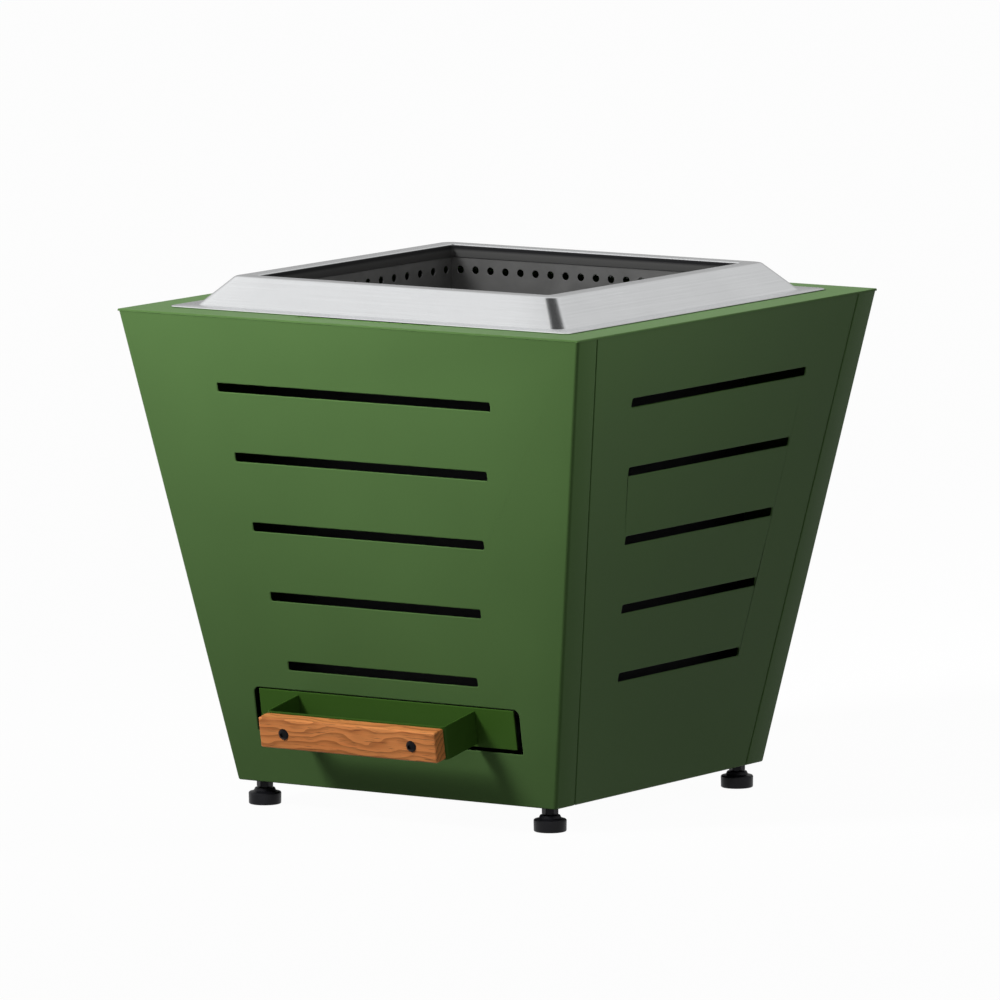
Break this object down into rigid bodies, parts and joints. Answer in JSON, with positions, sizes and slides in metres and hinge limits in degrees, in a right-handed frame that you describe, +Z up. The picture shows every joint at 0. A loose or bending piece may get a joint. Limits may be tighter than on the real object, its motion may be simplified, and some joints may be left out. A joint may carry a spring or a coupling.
{
  "type": "rocket stove",
  "caption": "Square tapered outdoor rocket stove: slotted sheet-metal housing, lift-out steel fire chamber with rim and grate, ash drawer with wooden handle, levelling feet.",
  "frame": {"origin": "on the floor, under the centre of the square housing; the handle moves the middle of the whole box 2 mm towards -Y", "axes": "+Z up, -Y towards the drawer's side, +X to the right of someone who faces the drawer"},
  "size_m": [0.5, 0.5035, 0.485],
  "materials": {
    "green_coat": "satin powder coat",
    "dark_coat": "matte",
    "zinc_steel": "bright zinc plated",
    "brushed_ring": "brushed stainless steel",
    "chamber_steel": "dull stainless steel",
    "cast_grate": "as cast",
    "tray_steel": "galvanised",
    "oak": "oiled oak",
    "black_steel": "black oxide",
    "foot_plastic": "moulded"
  },
  "bodies": {
    "housing": {"front_panel": "green_coat", "rear_panel": "green_coat", "left_panel": "green_coat", "right_panel": "green_coat", "rim_frame": "green_coat", "base_plate": "dark_coat", "seam_strip_front_left": "dark_coat", "seam_strip_front_right": "dark_coat", "seam_strip_rear_left": "dark_coat", "seam_strip_rear_right": "dark_coat", "foot_inserts": "zinc_steel", "left_runner": "dark_coat", "right_runner": "dark_coat", "runner_rivets": "zinc_steel"},
    "fire_insert": {"fire_ring": "brushed_ring", "chamber_front": "chamber_steel", "chamber_rear": "chamber_steel", "chamber_left": "chamber_steel", "chamber_right": "chamber_steel", "grate_ledge": "chamber_steel"},
    "grate": {"fire_grate": "cast_grate"},
    "drawer": {"ash_tray": "tray_steel", "drawer_fascia": "green_coat", "handle_bracket": "green_coat", "handle_bar": "oak", "handle_bolts": "black_steel", "handle_nuts": "zinc_steel"},
    "pad_front_left": {"foot_pad_front_left": "foot_plastic"},
    "stud_front_left": {"foot_stud_front_left": "black_steel"},
    "pad_front_right": {"foot_pad_front_right": "foot_plastic"},
    "stud_front_right": {"foot_stud_front_right": "black_steel"},
    "pad_rear_left": {"foot_pad_rear_left": "foot_plastic"},
    "stud_rear_left": {"foot_stud_rear_left": "black_steel"},
    "pad_rear_right": {"foot_pad_rear_right": "foot_plastic"},
    "stud_rear_right": {"foot_stud_rear_right": "black_steel"}
  },
  "joints": [
    {"name": "drawer_slide", "type": "slide", "parent": "housing", "child": "drawer", "axis": [0, -1, 0], "range_m": [0, 0.345]},
    {"name": "insert_lift", "type": "slide", "parent": "housing", "child": "fire_insert", "axis": [0, 0, 1], "range_m": [0, 0.36]},
    {"name": "grate_lift", "type": "slide", "parent": "fire_insert", "child": "grate", "axis": [0, 0, 1], "range_m": [0, 0.38]},
    {"name": "foot_travel_front_left", "type": "slide", "parent": "housing", "child": "pad_front_left", "axis": [0, 0, 1], "range_m": [-0.01, 0]},
    {"name": "foot_screw_front_left", "type": "hinge", "parent": "pad_front_left", "child": "stud_front_left", "pos_m": [-0.156, -0.156, 0.02], "axis": [0, 0, 1], "range_deg": [-2881, 0]},
    {"name": "foot_travel_front_right", "type": "slide", "parent": "housing", "child": "pad_front_right", "axis": [0, 0, 1], "range_m": [-0.01, 0]},
    {"name": "foot_screw_front_right", "type": "hinge", "parent": "pad_front_right", "child": "stud_front_right", "pos_m": [0.156, -0.156, 0.02], "axis": [0, 0, 1], "range_deg": [-2881, 0]},
    {"name": "foot_travel_rear_left", "type": "slide", "parent": "housing", "child": "pad_rear_left", "axis": [0, 0, 1], "range_m": [-0.01, 0]},
    {"name": "foot_screw_rear_left", "type": "hinge", "parent": "pad_rear_left", "child": "stud_rear_left", "pos_m": [-0.156, 0.156, 0.02], "axis": [0, 0, 1], "range_deg": [-2881, 0]},
    {"name": "foot_travel_rear_right", "type": "slide", "parent": "housing", "child": "pad_rear_right", "axis": [0, 0, 1], "range_m": [-0.01, 0]},
    {"name": "foot_screw_rear_right", "type": "hinge", "parent": "pad_rear_right", "child": "stud_rear_right", "pos_m": [0.156, 0.156, 0.02], "axis": [0, 0, 1], "range_deg": [-2881, 0]}
  ],
  "couplings": [
    {"joint": "foot_screw_front_left", "follows": "foot_travel_front_left", "rad_per_m": 5026.5},
    {"joint": "foot_screw_front_right", "follows": "foot_travel_front_right", "rad_per_m": 5026.5},
    {"joint": "foot_screw_rear_left", "follows": "foot_travel_rear_left", "rad_per_m": 5026.5},
    {"joint": "foot_screw_rear_right", "follows": "foot_travel_rear_right", "rad_per_m": 5026.5}
  ]
}
